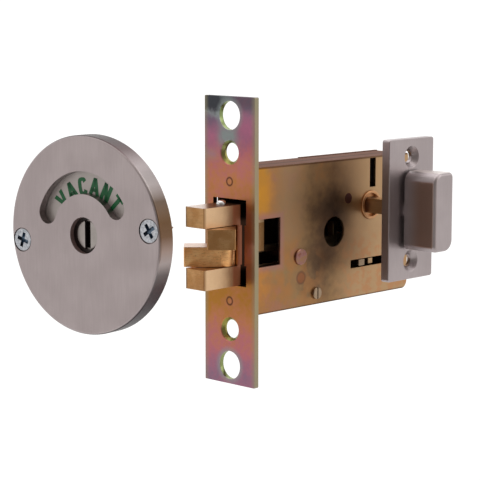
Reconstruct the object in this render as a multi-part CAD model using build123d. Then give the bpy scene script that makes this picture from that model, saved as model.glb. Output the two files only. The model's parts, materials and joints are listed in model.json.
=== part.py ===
from build123d import *
import math
import os

# Sliding-door indicator bolt: a mortice lock with a claw bolt, its turn knob
# on a plate, and the round indicator plate that stands beside it.
# X runs from the forend's front face into the lock, -Y is the knob's side,
# Z is up, and the origin is the middle of the forend's front face.

# Clearances shared by several pieces
running_clearance = 0.08
free_clearance = 0.3
cut_overrun = 1.0

# Forend
forend_width = 25.0
forend_height = 104.0
forend_thickness = 2.0
forend_corner_radius = 0.4
outer_hole_diameter = 10.4
outer_hole_spacing = 90.4
inner_hole_diameter = 6.8
inner_sink_diameter = 9.2
inner_hole_spacing = 64.0
forend_rivet_diameter = 3.2
forend_rivet_spacing = 43.2

# Case
case_height = 53.2
case_depth = 89.0
case_thickness = 16.0
case_sheet = 1.2
case_rear_radius = 3.0
case_rear_top_radius = 1.0
case_lip_height = 0.25
case_lip_setback = 42.7
window_depth = 16.1
window_height = 17.4
window_drop = 0.8

# Claw bolt
bolt_height = 29.2
bolt_width = 10.0
bolt_drop = 0.8
bolt_stroke = 17.5
claw_height = 7.1
claw_level_gap = 0.15
claw_length = 13.4
claw_swing = 45.0
claw_tip_radius = 0.4
finger_tip_radius = 1.0
fork_root_depth = 5.1
fork_horn_setback = 3.1
shank_depth = 6.3
shank_drop = 4.1
claw_pin_diameter = 3.6
claw_pin_dome = 1.5
pin_rounding_share = 0.9
slot_side_clearance = 2.5
relief_side_clearance = 3.3
slot_end_clearance = 0.2

# Spring between the claws
claw_spring_wire = 0.6
claw_spring_turns = 2.0
claw_spring_pitch_share = 1.3

# Bolt tail
tail_thickness = 2.4
tail_bar_height = 9.2
tail_rivet_diameter = 3.0
tail_yoke_width = 10.0
tail_stud_length = 3.4
tail_stud_height = 2.4
tail_tab_length = 2.6
tail_tab_height = 2.2

# Places of the case's own fixings, from the forend face and the mid height
guide_post_x = 28.8
guide_post_drop = 7.8
guide_post_diameter = 4.6
guide_post_head_diameter = 6.0
guide_post_head_height = 0.8
flush_rivet_x = 29.3
flush_rivet_drop = 15.7
flush_rivet_diameter = 4.5
cover_screw_x = 37.6
cover_screw_edge = 4.2
cover_screw_diameter = 3.2
cover_screw_head_diameter = 4.4
cover_screw_head_height = 1.0
cover_screw_slot = 0.6
stop_post_x = 55.6
stop_post_rise = 11.6
stop_post_diameter = 4.0
sight_hole_x = 47.6
sight_hole_drop = 0.3
sight_hole_diameter = 11.4

# Follower
backset = 68.6
follower_rise = 8.1
follower_diameter = 11.0
follower_collar = 0.8
follower_rim = 1.2
follower_dish_depth = 1.5
arm_reach = 12.4
arm_width = 5.6
arm_thickness = 2.4
drive_pin_diameter = 3.4
drive_pin_play = 0.75
snib_turn = 90.0

# Leaf spring over the follower
leaf_thickness = 0.7
leaf_width = 5.0
leaf_foot = 6.0
leaf_slot_width = 3.4
leaf_offset = 1.1

# Slot in the cover that the tail stud runs in
stud_slot_x = 57.2
stud_slot_length = 28.4
stud_slot_height = 3.2
stud_slot_drop = 13.8

# Turn knob and its plate
spindle_width = 5.6
spindle_clearance = 0.15
spindle_overhang = 1.8
snib_plate_gap = 16.4
snib_plate_thickness = 3.4
snib_plate_width = 26.0
snib_plate_height = 53.0
snib_plate_radius = 1.0
snib_plate_chamfer = 0.2
snib_screw_spacing = 39.2
snib_screw_diameter = 4.6
snib_sink_diameter = 8.4
knob_neck_diameter = 9.5
knob_stand_off = 1.3
knob_length = 14.3
knob_width = 11.2
knob_height = 29.4
knob_large_radius = 4.2
knob_small_radius = 2.2
knob_edge_radius = 1.3
neck_tail = 2.4
circlip_thickness = 0.9
circlip_radial = 1.7
circlip_groove = 0.35
circlip_mouth = 5.0
grub_diameter = 4.0
grub_length = 6.0
grub_socket = 2.0

# Indicator plate, in its own frame: its face is z = 0 and its back is below
indicator_diameter = 70.8
indicator_thickness = 6.8
indicator_edge_radius = 0.9
indicator_wall = 3.0
indicator_screw_land = 3.5
indicator_screw_spacing = 61.0
indicator_screw_diameter = 3.6
indicator_screw_head = 8.0
screw_set_back = 0.2
screw_ring_gap = 0.4
indicator_screw_length = 13.0
cross_length = 5.4
cross_width = 1.4
cross_depth = 1.3
cross_turn = 25.0
sight_arc_radius = 18.7
sight_arc_width = 8.1
sight_arc_half_angle = 61.6
sight_arc_lean = 0.8
turn_dish_diameter = 13.0
turn_dish_depth = 2.4
turn_head_diameter = 10.6
turn_set_back = 2.2
turn_edge_radius = 0.3
turn_web = 1.8
turn_slot_width = 2.7
turn_slot_depth = 2.0
turn_spigot_diameter = 9.6
turn_tail_length = 3.4
dial_play = 2.5
dial_thickness = 1.0
back_cover_thickness = 1.0
washer_thickness = 0.4
washer_diameter = 14.0

# Where the indicator plate stands in the lock's frame
indicator_x = -43.5
indicator_y = 29.3
indicator_z = 3.6
indicator_turn = 6.6
indicator_roll = 7.6

# Places worked out from the sizes above
case_front = forend_thickness
case_rear = case_front + case_depth
near_face = -case_thickness / 2
far_face = case_thickness / 2
near_inner = near_face + case_sheet
far_inner = far_face - case_sheet
bolt_half = bolt_width / 2
bolt_middle = -bolt_drop
bolt_half_height = bolt_height / 2
bolt_top = bolt_middle + bolt_half_height
bolt_bottom = bolt_middle - bolt_half_height
finger_height = bolt_half_height - claw_height - 2 * claw_level_gap
bolt_tip = -bolt_stroke
pin_x = bolt_tip + claw_length
heel_radius = bolt_half
heel_room_radius = heel_radius + free_clearance
root_rear = pin_x + heel_room_radius + fork_root_depth
shank_rear = root_rear + shank_depth
slot_half = bolt_half + slot_side_clearance
relief_half = bolt_half + relief_side_clearance
slot_top = bolt_top + claw_pin_dome + slot_end_clearance
slot_bottom = bolt_bottom - free_clearance
arm_drop = arm_reach * math.cos(math.radians(snib_turn / 2))
drive_x = backset - arm_reach * math.sin(math.radians(snib_turn / 2))
drive_z = follower_rise - arm_drop
cover_screw_drop = case_height / 2 - cover_screw_edge
tail_half = tail_thickness / 2
tail_bar_top = -guide_post_drop + tail_bar_height / 2
tail_bar_bottom = -guide_post_drop - tail_bar_height / 2
plate_back = near_face - snib_plate_gap
plate_front = plate_back - snib_plate_thickness
knob_back = plate_front - knob_stand_off
knob_front = knob_back - knob_length
neck_end = plate_back + neck_tail
indicator_recess_diameter = indicator_screw_spacing - 2 * indicator_screw_land
dial_diameter = indicator_recess_diameter - 2 * dial_play
dial_front = -indicator_wall - free_clearance
back_cover_front = -indicator_thickness + back_cover_thickness


def block(x_range, y_range, z_range):
    size = [high - low for low, high in (x_range, y_range, z_range)]
    middle = [(high + low) / 2 for low, high in (x_range, y_range, z_range)]
    return Pos(*middle) * Box(*size)


def rod_y(x, z, diameter, y_low, y_high):
    turned = Rot(90, 0, 0) * Cylinder(diameter / 2, y_high - y_low)
    return Pos(x, (y_low + y_high) / 2, z) * turned


def rod_x(y, z, diameter, x_low, x_high):
    turned = Rot(0, 90, 0) * Cylinder(diameter / 2, x_high - x_low)
    return Pos((x_low + x_high) / 2, y, z) * turned


def rod_z(x, y, diameter, z_low, z_high):
    return Pos(x, y, (z_low + z_high) / 2) * Cylinder(diameter / 2, z_high - z_low)


def cone_y(x, z, wide, narrow, y_wide, y_narrow):
    length = abs(y_narrow - y_wide)
    towards = -90 if y_narrow > y_wide else 90
    turned = Rot(towards, 0, 0) * Cone(wide / 2, narrow / 2, length)
    return Pos(x, (y_wide + y_narrow) / 2, z) * turned


def forend():
    plate = block(
        (0, forend_thickness),
        (-forend_width / 2, forend_width / 2),
        (-forend_height / 2, forend_height / 2),
    )
    plate = fillet(plate.edges().filter_by(Axis.X), forend_corner_radius)
    through = (-cut_overrun, forend_thickness + cut_overrun)
    plate -= block(through, (-slot_half, slot_half), (slot_bottom, slot_top))
    level = claw_height + claw_level_gap
    reliefs = ((bolt_middle + level, slot_top), (slot_bottom, bolt_middle - level))
    for relief in reliefs:
        plate -= block(through, (-relief_half, relief_half), relief)
    for side in (-1, 1):
        plate -= rod_x(0, side * outer_hole_spacing / 2, outer_hole_diameter, *through)
        z = side * inner_hole_spacing / 2
        plate -= rod_x(0, z, inner_hole_diameter, *through)
        sink_depth = (inner_sink_diameter - inner_hole_diameter) / 2
        sink = Cone(inner_sink_diameter / 2, inner_hole_diameter / 2, sink_depth)
        plate -= Pos(sink_depth / 2, 0, z) * Rot(0, 90, 0) * sink
        z = side * forend_rivet_spacing / 2
        plate -= rod_x(0, z, forend_rivet_diameter, *through)
    return plate


def forend_rivets():
    rear = case_front + case_sheet
    return [
        rod_x(0, side * forend_rivet_spacing / 2, forend_rivet_diameter, 0, rear)
        for side in (-1, 1)
    ]


def case_outline(y_low, y_high):
    half = case_height / 2
    shell = block((case_front, case_rear), (y_low, y_high), (-half, half))
    rear_edges = shell.edges().filter_by(Axis.Y).sort_by(Axis.X)[-2:].sort_by(Axis.Z)
    shell = fillet(rear_edges[0], case_rear_radius)
    rear_edges = shell.edges().filter_by(Axis.Y).sort_by(Axis.X)[-2:].sort_by(Axis.Z)
    return fillet(rear_edges[1], case_rear_top_radius)


def case_tray():
    half = case_height / 2
    tray = case_outline(near_inner, far_face)
    hollow = block(
        (case_front + case_sheet, case_rear - case_sheet),
        (near_inner - cut_overrun, far_inner),
        (-half + case_sheet, half - case_sheet),
    )
    rear_edges = hollow.edges().filter_by(Axis.Y).sort_by(Axis.X)[-2:].sort_by(Axis.Z)
    tray -= fillet(rear_edges[0], case_rear_radius - case_sheet)
    lip_start = case_front + case_lip_setback
    tray += block(
        (lip_start, case_rear - case_rear_top_radius),
        (far_inner, far_face),
        (half - case_sheet, half + case_lip_height),
    )
    mouth = (case_front - cut_overrun, case_front + case_sheet + cut_overrun)
    tray -= block(mouth, (near_inner - cut_overrun, far_inner), (slot_bottom, slot_top))
    for side in (-1, 1):
        z = side * forend_rivet_spacing / 2
        tray -= rod_x(0, z, forend_rivet_diameter, *mouth)
    reach = (far_inner - cut_overrun, far_face + cut_overrun)
    tray -= window(reach)
    tray -= rod_y(backset, follower_rise, follower_bore(), *reach)
    tray -= rod_y(guide_post_x, -guide_post_drop, guide_post_diameter, *reach)
    tray -= rod_y(flush_rivet_x, -flush_rivet_drop, flush_rivet_diameter, *reach)
    tray -= rod_y(stop_post_x, stop_post_rise, stop_post_diameter, *reach)
    return tray


def follower_bore():
    return follower_diameter + 2 * running_clearance


def window(y_range):
    middle = -window_drop
    return block(
        (case_front - cut_overrun, case_front + window_depth),
        y_range,
        (middle - window_height / 2, middle + window_height / 2),
    )


def case_cover():
    reach = (near_face - cut_overrun, near_inner + cut_overrun)
    cover = case_outline(near_face, near_inner)
    cover -= window(reach)
    cover -= rod_y(sight_hole_x, -sight_hole_drop, sight_hole_diameter, *reach)
    cover -= rod_y(backset, follower_rise, follower_bore(), *reach)
    cover -= rod_y(guide_post_x, -guide_post_drop, guide_post_diameter, *reach)
    cover -= rod_y(flush_rivet_x, -flush_rivet_drop, flush_rivet_diameter, *reach)
    cover -= rod_y(cover_screw_x, -cover_screw_drop, cover_screw_diameter, *reach)
    cover -= rod_y(stop_post_x, stop_post_rise, stop_post_diameter, *reach)
    middle = backset + leaf_offset
    leaf_slot_bottom = follower_rise + follower_bore() / 2 + follower_rim
    cover -= block(
        (middle - leaf_slot_width / 2, middle + leaf_slot_width / 2),
        reach,
        (leaf_slot_bottom, case_height / 2 - case_sheet / 2),
    )
    cover -= block(
        (stud_slot_x, stud_slot_x + stud_slot_length),
        reach,
        (-stud_slot_drop - stud_slot_height / 2, -stud_slot_drop + stud_slot_height / 2),
    )
    return cover


def guide_post():
    post = rod_y(guide_post_x, -guide_post_drop, guide_post_diameter, near_face, far_face)
    head_low = near_face - guide_post_head_height
    head = rod_y(
        guide_post_x, -guide_post_drop, guide_post_head_diameter, head_low, near_face
    )
    rim = head.edges().sort_by(Axis.Y)[0]
    return post + fillet(rim, guide_post_head_height / 2)


def flush_rivet():
    return rod_y(
        flush_rivet_x, -flush_rivet_drop, flush_rivet_diameter, near_face, far_face
    )


def stop_post():
    return rod_y(stop_post_x, stop_post_rise, stop_post_diameter, near_face, far_face)


def cover_pillar():
    pillar = rod_y(
        cover_screw_x, -cover_screw_drop, cover_screw_head_diameter, near_inner, far_inner
    )
    return pillar - rod_y(
        cover_screw_x, -cover_screw_drop, cover_screw_diameter, near_inner, 0
    )


def cover_screw():
    x, z = cover_screw_x, -cover_screw_drop
    head_low = near_face - cover_screw_head_height
    head = rod_y(x, z, cover_screw_head_diameter, head_low, near_face)
    head = fillet(head.edges().sort_by(Axis.Y)[0], cover_screw_slot / 2)
    slot = block(
        (x - cover_screw_slot / 2, x + cover_screw_slot / 2),
        (head_low - cut_overrun, head_low + cover_screw_head_height / 2),
        (z - cover_screw_head_diameter, z + cover_screw_head_diameter),
    )
    return head - slot + rod_y(x, z, cover_screw_diameter, near_face, 0)


def leaf_spring():
    middle = backset + leaf_offset
    y_range = (-tail_half - free_clearance - leaf_width, -tail_half - free_clearance)
    foot_low = follower_rise + follower_diameter / 2 + free_clearance
    leg_rear = middle + leaf_slot_width / 2
    leg = block(
        (leg_rear - leaf_thickness, leg_rear),
        y_range,
        (foot_low, case_height / 2 - case_sheet),
    )
    foot = block(
        (backset - leaf_foot / 2, leg_rear),
        y_range,
        (foot_low, foot_low + leaf_thickness),
    )
    return leg + foot


def bolt_head():
    body = block(
        (bolt_tip, root_rear), (-bolt_half, bolt_half), (bolt_bottom, bolt_top)
    )
    gap = (bolt_bottom + finger_height, bolt_top - finger_height)
    body -= block(
        (bolt_tip - cut_overrun, pin_x + fork_horn_setback),
        (-bolt_half - cut_overrun, bolt_half + cut_overrun),
        gap,
    )
    body -= rod_z(pin_x, 0, 2 * heel_room_radius, *gap)
    tips = body.edges().filter_by(Axis.Z).sort_by(Axis.X)[:4]
    far_tips = tips.sort_by(Axis.Y)[2:]
    body = fillet(far_tips, finger_tip_radius)
    body += block(
        (root_rear, shank_rear), (-bolt_half, bolt_half), (-shank_drop, bolt_top)
    )
    body -= block(
        (root_rear, shank_rear + cut_overrun),
        (-tail_half, tail_half),
        (-shank_drop - cut_overrun, bolt_top - finger_height / 2),
    )
    body -= rod_z(pin_x, 0, claw_pin_diameter, bolt_bottom, bolt_top)
    for z in tail_rivet_heights():
        body -= rod_y(tail_rivet_x(), z, tail_rivet_diameter, -bolt_half, bolt_half)
    return body


def tail_rivet_x():
    return (root_rear + shank_rear) / 2


def tail_rivet_heights():
    return (-shank_drop + tail_rivet_diameter, -shank_drop + 3 * tail_rivet_diameter)


def tail_rivets():
    return [
        rod_y(tail_rivet_x(), z, tail_rivet_diameter, -bolt_half, bolt_half)
        for z in tail_rivet_heights()
    ]


def claw_pin():
    pin = rod_z(pin_x, 0, claw_pin_diameter, bolt_bottom, bolt_top + claw_pin_dome)
    rim = pin.edges().filter_by(GeomType.CIRCLE).sort_by(Axis.Z)[-1]
    return fillet(rim, claw_pin_dome * pin_rounding_share)


def claw_spring_radius():
    return claw_pin_diameter / 2 + free_clearance + claw_spring_wire / 2


def claw_spring():
    pitch = claw_spring_wire * claw_spring_pitch_share
    height = pitch * claw_spring_turns
    radius = claw_spring_radius()
    path = Helix(pitch, height, radius)
    section = Plane(path @ 0, z_dir=path % 0) * Circle(claw_spring_wire / 2)
    return Pos(pin_x, 0, bolt_middle - height / 2) * sweep(section, path=path)


def spring_pocket():
    turns_share = 1 + claw_spring_pitch_share * claw_spring_turns
    height = claw_spring_wire * turns_share + 2 * free_clearance
    diameter = 2 * claw_spring_radius() + claw_spring_wire + 2 * free_clearance
    low = bolt_middle - height / 2
    return rod_z(pin_x, 0, diameter, low, low + height)


def claw(level):
    middle = bolt_middle + level * (claw_level_gap + claw_height) / 2
    low = middle - claw_height / 2
    high = middle + claw_height / 2
    arm = block((bolt_tip, pin_x), (-heel_radius, heel_radius), (low, high))
    arm = fillet(arm.edges().filter_by(Axis.Z).sort_by(Axis.X)[:2], claw_tip_radius)
    arm += rod_z(pin_x, 0, 2 * heel_radius, low, high)
    bore = claw_pin_diameter + 2 * running_clearance
    arm -= rod_z(pin_x, 0, bore, low - cut_overrun, high + cut_overrun)
    arm -= spring_pocket()
    swung = Pos(pin_x, 0, 0) * Rot(0, 0, level * claw_swing) * Pos(-pin_x, 0, 0)
    return swung * arm


def bolt_tail():
    y_range = (-tail_half, tail_half)
    front_top = bolt_top - finger_height / 2
    tail = block((root_rear, shank_rear), y_range, (tail_bar_bottom, front_top))
    yoke_low = drive_x - tail_yoke_width / 2
    stud_x = tail_stud_x()
    tail += block((shank_rear, yoke_low), y_range, (tail_bar_bottom, tail_bar_top))
    yoke_top = follower_rise - follower_diameter / 2 - free_clearance
    tail += block(
        (yoke_low, yoke_low + tail_yoke_width), y_range, (tail_bar_bottom, yoke_top)
    )
    leg_bottom = -stud_slot_drop - tail_stud_height / 2
    leg_rear = tail_tab_x() + tail_tab_length
    tail += block(
        (stud_x - tail_stud_length, leg_rear), y_range, (leg_bottom, tail_bar_bottom)
    )
    tail += block(
        (yoke_low + tail_yoke_width, leg_rear),
        y_range,
        (tail_bar_bottom, tail_bar_bottom + tail_tab_height),
    )
    tail -= tail_slot(guide_post_x - bolt_stroke, guide_post_x, -guide_post_drop)
    pin_half = drive_pin_diameter / 2 + drive_pin_play
    lowest = follower_rise - arm_reach - pin_half
    highest = drive_z + drive_pin_diameter / 2 + free_clearance
    tail -= block(
        (drive_x - pin_half, drive_x + pin_half),
        (-tail_thickness, tail_thickness),
        (lowest, highest),
    )
    for z in tail_rivet_heights():
        tail -= rod_y(tail_rivet_x(), z, tail_rivet_diameter, *y_range)
    tail += block(
        (tail_tab_x(), leg_rear),
        (near_inner + free_clearance, -tail_half),
        (leg_bottom, leg_bottom + tail_tab_height),
    )
    return tail


def tail_slot(x_low, x_high, z):
    width = guide_post_diameter + 2 * running_clearance
    y_range = (-tail_thickness, tail_thickness)
    slot = block((x_low, x_high), y_range, (z - width / 2, z + width / 2))
    for x in (x_low, x_high):
        slot += rod_y(x, z, width, *y_range)
    return slot


def tail_stud_x():
    return stud_slot_x + 2 * tail_stud_length


def tail_tab_x():
    return tail_stud_x() + 2 * tail_tab_length


def tail_stud():
    x = tail_stud_x()
    z = -stud_slot_drop
    return block(
        (x - tail_stud_length / 2, x + tail_stud_length / 2),
        (near_face + free_clearance, -tail_half),
        (z - tail_stud_height / 2, z + tail_stud_height / 2),
    )


def follower():
    reach = far_face + follower_collar
    body = rod_y(backset, follower_rise, follower_diameter, -reach, reach)
    dish = follower_diameter - 2 * follower_rim
    for side in (-1, 1):
        y_range = sorted((side * (reach - follower_dish_depth), side * (reach + cut_overrun)))
        body -= rod_y(backset, follower_rise, dish, *y_range)
    rims = body.edges().filter_by(GeomType.CIRCLE).group_by(Axis.Y)
    body = fillet([*rims[0], *rims[-1]], follower_rim / 3)
    y_low = tail_half + free_clearance
    y_range = (y_low, y_low + arm_thickness)
    arm = block((-arm_reach, 0), y_range, (-arm_width / 2, arm_width / 2))
    arm += rod_y(-arm_reach, 0, arm_width, *y_range)
    swung = Rot(0, snib_turn / 2 - 90, 0) * arm
    body += Pos(backset, 0, follower_rise) * swung
    body -= rod_y(drive_x, drive_z, drive_pin_diameter, *y_range)
    hole = spindle_width + 2 * spindle_clearance
    body -= Pos(backset, 0, follower_rise) * Box(hole, 2 * reach, hole)
    return body


def drive_pin():
    far_end = tail_half + free_clearance + arm_thickness
    return rod_y(drive_x, drive_z, drive_pin_diameter, -tail_half - free_clearance, far_end)


def spindle():
    near_end = knob_front + spindle_width
    far_end = far_face + follower_collar + spindle_overhang
    half = spindle_width / 2
    bar = block(
        (backset - half, backset + half),
        (near_end, far_end),
        (follower_rise - half, follower_rise + half),
    )
    return chamfer(bar.faces().sort_by(Axis.Y)[-1].edges(), spindle_width / 10)


def snib_plate():
    y_range = (plate_front, plate_back)
    half_width = snib_plate_width / 2
    half_height = snib_plate_height / 2
    plate = block(
        (backset - half_width, backset + half_width),
        y_range,
        (follower_rise - half_height, follower_rise + half_height),
    )
    plate = fillet(plate.edges().filter_by(Axis.Y), snib_plate_radius)
    plate = chamfer(plate.faces().sort_by(Axis.Y)[0].edges(), snib_plate_chamfer)
    through = (plate_front - cut_overrun, plate_back + cut_overrun)
    neck_hole = knob_neck_diameter + 2 * running_clearance
    plate -= rod_y(backset, follower_rise, neck_hole, *through)
    sink_depth = (snib_sink_diameter - snib_screw_diameter) / 2
    for side in (-1, 1):
        z = follower_rise + side * snib_screw_spacing / 2
        plate -= rod_y(backset, z, snib_screw_diameter, *through)
        plate -= cone_y(
            backset,
            z,
            snib_sink_diameter,
            snib_screw_diameter,
            plate_front,
            plate_front + sink_depth,
        )
    return plate


def knob_outline():
    half_width = knob_width / 2
    half_height = knob_height / 2
    face = Rectangle(knob_width, knob_height)
    corners = {
        (-1, 1): knob_large_radius,
        (1, -1): knob_large_radius,
        (1, 1): knob_small_radius,
        (-1, -1): knob_small_radius,
    }
    for (side, end), radius in corners.items():
        place = Vector(side * half_width, end * half_height, 0)
        nearest = face.vertices().sort_by(lambda v: (Vector(v.X, v.Y, v.Z) - place).length)[0]
        face = fillet(nearest, radius)
    return face


def snib_knob():
    body = extrude(knob_outline(), knob_length)
    body = fillet(body.faces().sort_by(Axis.Z)[-1].edges(), knob_edge_radius)
    body = Pos(backset, knob_back, follower_rise) * Rot(90, 0, 0) * body
    neck = rod_y(backset, follower_rise, knob_neck_diameter, knob_back, neck_end)
    knob = body + neck
    groove_floor = knob_neck_diameter - 2 * circlip_groove
    knob -= circlip_ring(groove_floor, knob_neck_diameter + cut_overrun)
    hole = spindle_width + 2 * spindle_clearance
    hole_front = knob_front + spindle_width
    half = hole / 2
    knob -= block(
        (backset - half, backset + half),
        (hole_front, neck_end + cut_overrun),
        (follower_rise - half, follower_rise + half),
    )
    bottom = follower_rise - knob_height / 2
    return knob - rod_z(
        backset, grub_y(), grub_diameter, bottom - cut_overrun, follower_rise
    )


def grub_y():
    return (knob_back + knob_front) / 2


def circlip_ring(inner, outer):
    y_low = plate_back + free_clearance
    y_high = y_low + circlip_thickness
    ring = rod_y(backset, follower_rise, outer, y_low, y_high)
    return ring - rod_y(
        backset, follower_rise, inner, y_low - cut_overrun, y_high + cut_overrun
    )


def knob_circlip():
    inner = knob_neck_diameter - 2 * circlip_groove
    outer = inner + 2 * circlip_radial
    ring = circlip_ring(inner, outer)
    mouth = block(
        (backset, backset + outer),
        (plate_back, neck_end + circlip_thickness),
        (follower_rise - circlip_mouth / 2, follower_rise + circlip_mouth / 2),
    )
    return ring - mouth


def knob_grub_screw():
    top = follower_rise - spindle_width / 2
    screw = rod_z(backset, grub_y(), grub_diameter, top - grub_length, top)
    socket = extrude(RegularPolygon(grub_socket / 2, 6), grub_socket)
    return screw - Pos(backset, grub_y(), top - grub_length) * socket


# The indicator's pieces are made in the plate's own frame and then placed
# where the plate stands beside the lock.


def placed(piece):
    turn = math.radians(indicator_turn)
    outward = (-math.cos(turn), -math.sin(turn), 0)
    rightward = (math.sin(turn), -math.cos(turn), 0)
    stand = Plane(
        origin=(indicator_x, indicator_y, indicator_z), x_dir=rightward, z_dir=outward
    )
    roll = Rot(0, 0, indicator_roll)
    if isinstance(piece, list):
        return [stand.location * roll * each for each in piece]
    return stand.location * roll * piece


def disc(diameter, low, high):
    return rod_z(0, 0, diameter, low, high)


def sight_arc():
    inner = sight_arc_radius - sight_arc_width / 2
    outer = sight_arc_radius + sight_arc_width / 2
    first = 90 - sight_arc_lean - sight_arc_half_angle
    span = 2 * sight_arc_half_angle
    ends = [
        (math.cos(math.radians(a)), math.sin(math.radians(a)))
        for a in (first, first + span)
    ]
    outline = Line(
        (ends[0][0] * inner, ends[0][1] * inner), (ends[0][0] * outer, ends[0][1] * outer)
    )
    outline += CenterArc((0, 0), outer, first, span)
    outline += Line(
        (ends[1][0] * outer, ends[1][1] * outer), (ends[1][0] * inner, ends[1][1] * inner)
    )
    outline += CenterArc((0, 0), inner, first, span)
    opening = extrude(make_face(outline), indicator_thickness)
    for x, y in ends:
        opening += rod_z(
            x * sight_arc_radius, y * sight_arc_radius, sight_arc_width, 0, indicator_thickness
        )
    return Pos(0, 0, -indicator_thickness) * opening


def indicator_plate():
    plate = disc(indicator_diameter, -indicator_thickness, 0)
    plate = fillet(plate.edges().sort_by(Axis.Z)[-1], indicator_edge_radius)
    plate -= disc(
        indicator_recess_diameter, -indicator_thickness - cut_overrun, -indicator_wall
    )
    plate -= sight_arc()
    plate -= disc(turn_dish_diameter, -turn_dish_depth, cut_overrun)
    bore = turn_head_diameter + 2 * running_clearance
    plate -= disc(bore, -indicator_thickness, 0)
    for side in (-1, 1):
        x = side * indicator_screw_spacing / 2
        plate -= rod_z(
            x, 0, indicator_screw_diameter, -indicator_thickness - cut_overrun, cut_overrun
        )
        plate -= screw_head(x)
        rim = indicator_screw_head + 2 * screw_ring_gap
        plate -= rod_z(x, 0, rim, -screw_set_back - screw_ring_gap, cut_overrun)
    return placed(plate)


def screw_head(x):
    depth = (indicator_screw_head - indicator_screw_diameter) / 2
    head = Cone(indicator_screw_diameter / 2, indicator_screw_head / 2, depth)
    return Pos(x, 0, -screw_set_back - depth / 2) * head


def indicator_screws():
    screws = []
    point = indicator_screw_diameter
    for side in (-1, 1):
        x = side * indicator_screw_spacing / 2
        screw = screw_head(x)
        shank_end = -indicator_screw_length + point
        recess_floor = -screw_set_back - cross_depth
        screw += rod_z(x, 0, indicator_screw_diameter, shank_end, recess_floor)
        tip = Cone(indicator_screw_diameter / 20, indicator_screw_diameter / 2, point)
        screw += Pos(x, 0, shank_end - point / 2) * tip
        for across, along in ((cross_length, cross_width), (cross_width, cross_length)):
            arm = Rot(0, 0, side * cross_turn) * Box(across, along, 2 * cross_depth)
            screw -= Pos(x, 0, -screw_set_back) * arm
        screws.append(screw)
    return placed(screws)


def indicator_dial():
    back = dial_front - dial_thickness
    dial = disc(dial_diameter, back, dial_front)
    return placed(dial - disc(turn_spigot_diameter, back, dial_front))


def coin_turn():
    head_back = dial_front
    turn = disc(turn_head_diameter, head_back, -turn_set_back)
    turn = fillet(turn.edges().sort_by(Axis.Z)[-1], turn_edge_radius)
    tail_end = -indicator_thickness - turn_tail_length
    turn += disc(turn_spigot_diameter, tail_end, head_back)
    slot_floor = -turn_set_back - turn_slot_depth
    turn -= block(
        (-turn_slot_width / 2, turn_slot_width / 2),
        (-turn_head_diameter, turn_head_diameter),
        (slot_floor, cut_overrun),
    )
    socket = spindle_width + 2 * spindle_clearance
    socket_floor = slot_floor - turn_web
    turn -= block(
        (-socket / 2, socket / 2), (-socket / 2, socket / 2), (tail_end - cut_overrun, socket_floor)
    )
    groove_floor = turn_spigot_diameter - 2 * circlip_groove
    turn -= dial_ring(groove_floor, turn_spigot_diameter + cut_overrun)
    unrolled = Rot(0, 0, -indicator_roll)
    return placed(unrolled * turn)


def dial_ring(inner, outer):
    high = -indicator_thickness - washer_thickness - free_clearance
    low = high - circlip_thickness
    return disc(outer, low, high) - disc(inner, low - cut_overrun, high + cut_overrun)


def dial_circlip():
    inner = turn_spigot_diameter - 2 * circlip_groove
    outer = inner + 2 * circlip_radial
    half = circlip_mouth / 2
    mouth = block((0, outer), (-half, half), (-2 * indicator_thickness, 0))
    return placed(dial_ring(inner, outer) - mouth)


def dial_washer():
    high = -indicator_thickness
    low = high - washer_thickness
    inner = turn_spigot_diameter + 2 * free_clearance
    return placed(disc(washer_diameter, low, high) - disc(inner, low, high))


def indicator_back():
    cover = disc(indicator_recess_diameter, -indicator_thickness, back_cover_front)
    bore = turn_spigot_diameter + 2 * running_clearance
    return placed(cover - disc(bore, -indicator_thickness, back_cover_front))


pieces = {
    "forend": forend(),
    "forend_rivets": forend_rivets(),
    "case_tray": case_tray(),
    "case_cover": case_cover(),
    "guide_post": guide_post(),
    "flush_rivet": flush_rivet(),
    "stop_post": stop_post(),
    "cover_pillar": cover_pillar(),
    "cover_screw": cover_screw(),
    "leaf_spring": leaf_spring(),
    "bolt_head": bolt_head(),
    "bolt_tail": bolt_tail(),
    "tail_rivets": tail_rivets(),
    "tail_stud": tail_stud(),
    "claw_pin": claw_pin(),
    "claw_spring": claw_spring(),
    "near_claw": claw(1),
    "far_claw": claw(-1),
    "follower": follower(),
    "drive_pin": drive_pin(),
    "spindle": spindle(),
    "snib_plate": snib_plate(),
    "snib_knob": snib_knob(),
    "knob_circlip": knob_circlip(),
    "knob_grub_screw": knob_grub_screw(),
    "indicator_plate": indicator_plate(),
    "indicator_screws": indicator_screws(),
    "indicator_dial": indicator_dial(),
    "indicator_back": indicator_back(),
    "coin_turn": coin_turn(),
    "dial_washer": dial_washer(),
    "dial_circlip": dial_circlip(),
}

os.makedirs("parts", exist_ok=True)
for name, piece in pieces.items():
    solids = piece if isinstance(piece, list) else piece.solids()
    whole = solids[0] if len(solids) == 1 else Compound(children=list(solids))
    export_step(whole, f"parts/{name}.step")
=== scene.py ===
import json
import math

import bpy
from mathutils import Matrix, Vector


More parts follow.
